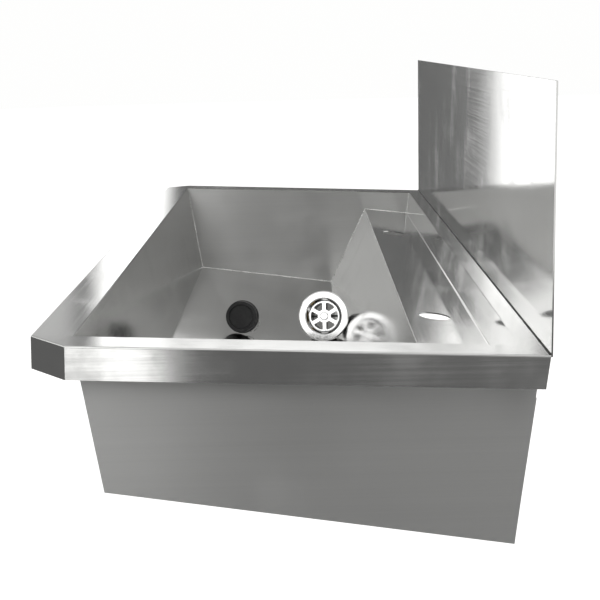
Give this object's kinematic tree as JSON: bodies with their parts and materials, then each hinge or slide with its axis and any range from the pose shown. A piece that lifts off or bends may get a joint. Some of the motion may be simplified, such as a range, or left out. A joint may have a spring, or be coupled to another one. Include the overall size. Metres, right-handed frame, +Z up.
{
  "type": "wall-hung wash trough",
  "caption": "Wall-hung folded stainless wash trough with a sloping dished bowl, a recessed tap ledge, a tall splashback, and a loose slotted waste and rubber plug lying in the bowl.",
  "frame": {"origin": "on the wall plane (the splashback's rear face), at the foot of the splashback and at mid-length", "axes": "+X along the trough, to the right for a user who faces the wall; +Y from the user into the wall; +Z up"},
  "size_m": [1.2, 0.4524, 0.4148],
  "materials": {
    "sheet_steel": "brushed stainless sheet with ground welds",
    "chrome": "polished chrome",
    "rubber": "black moulded rubber",
    "black_plastic": "black moulded plastic",
    "brass": "turned brass",
    "wire": "drawn stainless wire",
    "fastener": "stainless fastener"
  },
  "bodies": {
    "trough": {"rim_frame": "sheet_steel", "bowl_wrap": "sheet_steel", "tap_ledge": "sheet_steel", "end_panel_right": "sheet_steel", "end_panel_left": "sheet_steel", "splashback": "sheet_steel", "rear_rail": "sheet_steel", "earth_tag": "sheet_steel", "earth_washers": "fastener", "earth_nut": "fastener", "earth_bolt": "fastener"},
    "waste_fitting": {"waste_flange": "chrome", "waste_grid": "chrome", "waste_screw": "chrome", "waste_top_seal": "rubber", "waste_lower_seal": "rubber", "waste_body": "black_plastic", "waste_insert": "brass"},
    "plug": {"sink_plug": "rubber", "plug_eye": "wire"},
    "pull_ring": {"plug_ring": "wire"}
  },
  "joints": [
    {"name": "waste_lift", "type": "slide", "parent": "trough", "child": "waste_fitting", "axis": [0, 0, 1], "range_m": [0, 0.25]},
    {"name": "plug_lift", "type": "slide", "parent": "trough", "child": "plug", "axis": [0, 0, 1], "range_m": [0, 0.25]},
    {"name": "ring_swing", "type": "hinge", "parent": "plug", "child": "pull_ring", "pos_m": [-0.11666, -0.2999, -0.11921], "axis": [-0.0989, 0.645, 0.7578], "range_deg": [0, 175]}
  ]
}
